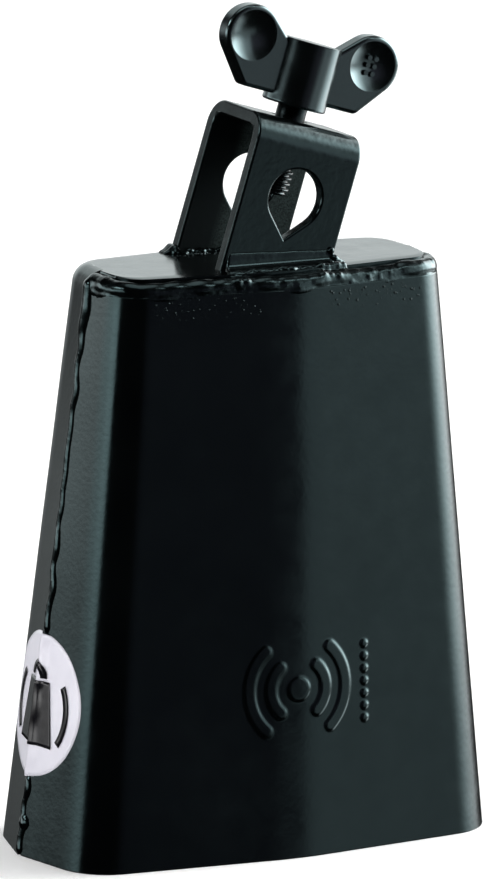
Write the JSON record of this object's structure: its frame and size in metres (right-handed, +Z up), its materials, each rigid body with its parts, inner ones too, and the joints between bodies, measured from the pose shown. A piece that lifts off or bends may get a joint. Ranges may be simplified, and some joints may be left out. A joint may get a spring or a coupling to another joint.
{
  "type": "cowbell",
  "caption": "Welded steel cowbell with a leaning U bracket on its flat top and a wing screw that clamps the bell to a mounting rod.",
  "frame": {"origin": "centre of the mouth rim's plane, on which the bell stands", "axes": "+Z up towards the flat top and the clamp, -Y out of the playing face, X across the mouth; the bracket leans towards +X"},
  "size_m": [0.111, 0.0534, 0.1822],
  "materials": {
    "black_coat": "semi-gloss black powder coat over pressed and welded steel",
    "black_steel": "black zinc plating on a rolled thread",
    "grip_plastic": "satin moulded nylon",
    "label_vinyl": "glossy white vinyl with a dark printed pictogram"
  },
  "bodies": {
    "bell": {"front_shell": "black_coat", "rear_shell": "black_coat", "left_seam_weld": "black_coat", "right_seam_weld": "black_coat", "top_seam_weld": "black_coat", "mount_bracket": "black_coat", "front_leg_weld": "black_coat", "rear_leg_weld": "black_coat", "weld_nut": "black_coat", "round_label": "label_vinyl"},
    "screw": {"screw_stud": "black_steel"},
    "grip": {"wing_grip": "grip_plastic"}
  },
  "joints": [
    {"name": "screw_travel", "type": "slide", "parent": "bell", "child": "screw", "axis": [0.284, 0, 0.9588], "range_m": [-0.00261, 0.00755]},
    {"name": "wing_turn", "type": "hinge", "parent": "screw", "child": "grip", "pos_m": [0.00828, 0.0015, 0.15663], "axis": [0.284, 0, 0.9588], "range_deg": [-748, 2172]}
  ],
  "couplings": [
    {"joint": "screw_travel", "follows": "wing_turn", "m_per_rad": 0.00019894}
  ]
}
